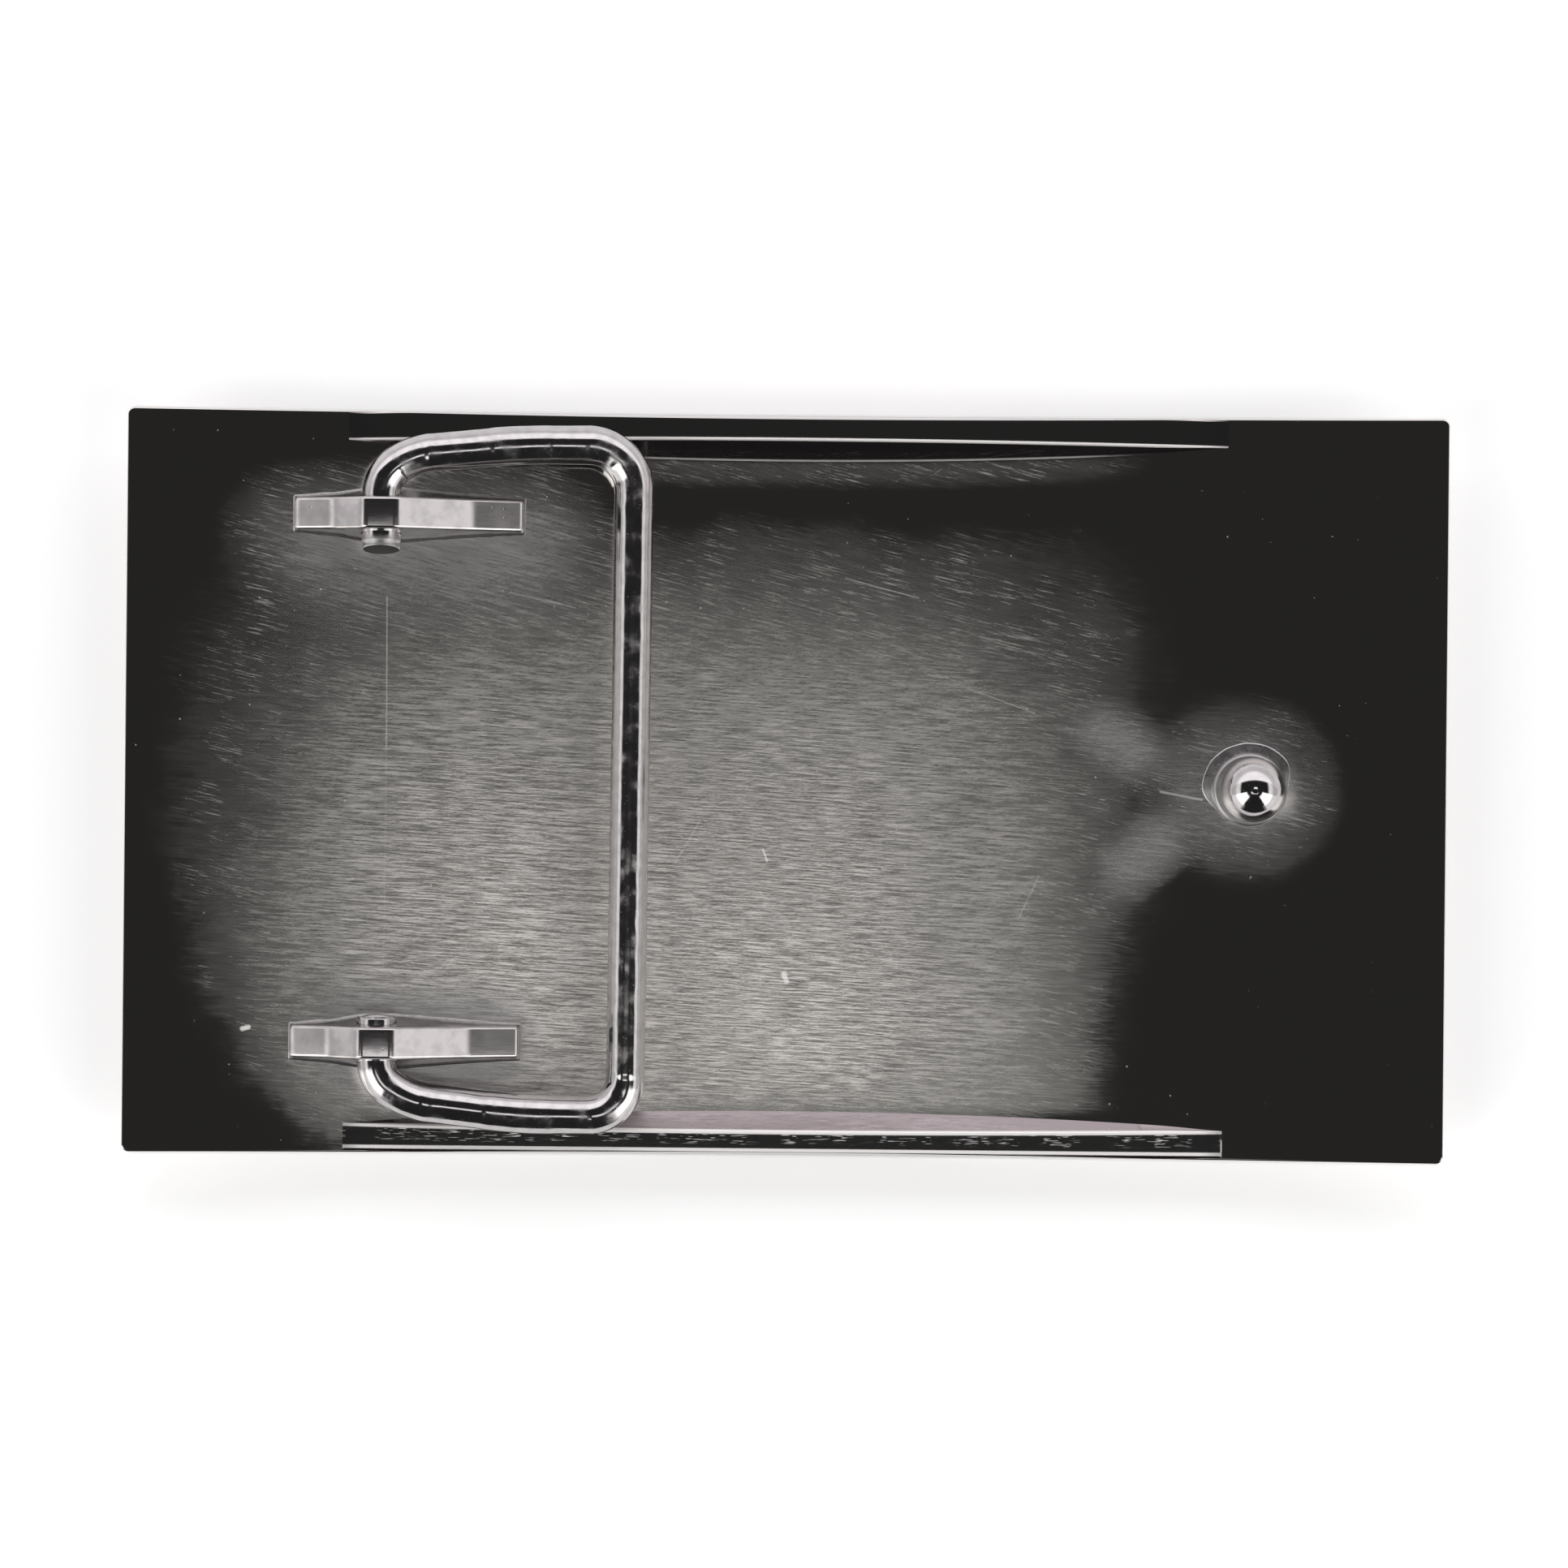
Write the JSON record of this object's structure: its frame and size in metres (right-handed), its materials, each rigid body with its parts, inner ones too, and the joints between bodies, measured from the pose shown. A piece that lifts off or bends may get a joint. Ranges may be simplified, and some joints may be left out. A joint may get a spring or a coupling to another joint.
{
  "type": "plate belt buckle",
  "caption": "Bent rectangular plate buckle with edge rails, a hinged wire loop for the strap and a ball-headed hook stud on the back.",
  "frame": {"origin": "on the convex front face's lowest line, under the middle of the plate", "axes": "+X along the belt from the loop end to the stud, +Y across the belt, +Z out of the back face"},
  "size_m": [0.09, 0.051, 0.0111],
  "materials": {
    "plate": "bright nickel plate, fine brushing on the back",
    "rail": "bright nickel plate, polished",
    "ear": "bright nickel plate over a soft cast surface",
    "wire": "bright nickel plate, polished",
    "stud": "bright nickel plate, polished",
    "braze": "plated braze, slightly hazed"
  },
  "bodies": {
    "plate": {"face_plate": "plate", "upper_edge_rail": "rail", "lower_edge_rail": "rail", "upper_loop_ear": "ear", "lower_loop_ear": "ear", "hook_stud": "stud", "upper_ear_braze": "braze", "lower_ear_braze": "braze", "stud_braze": "braze"},
    "loop": {"wire_loop": "wire"}
  },
  "joints": [
    {"name": "loop_hinge", "type": "hinge", "parent": "plate", "child": "loop", "pos_m": [-0.0276, 0.00025, 0.00604], "axis": [0, -1, 0], "range_deg": [0, 176]}
  ]
}
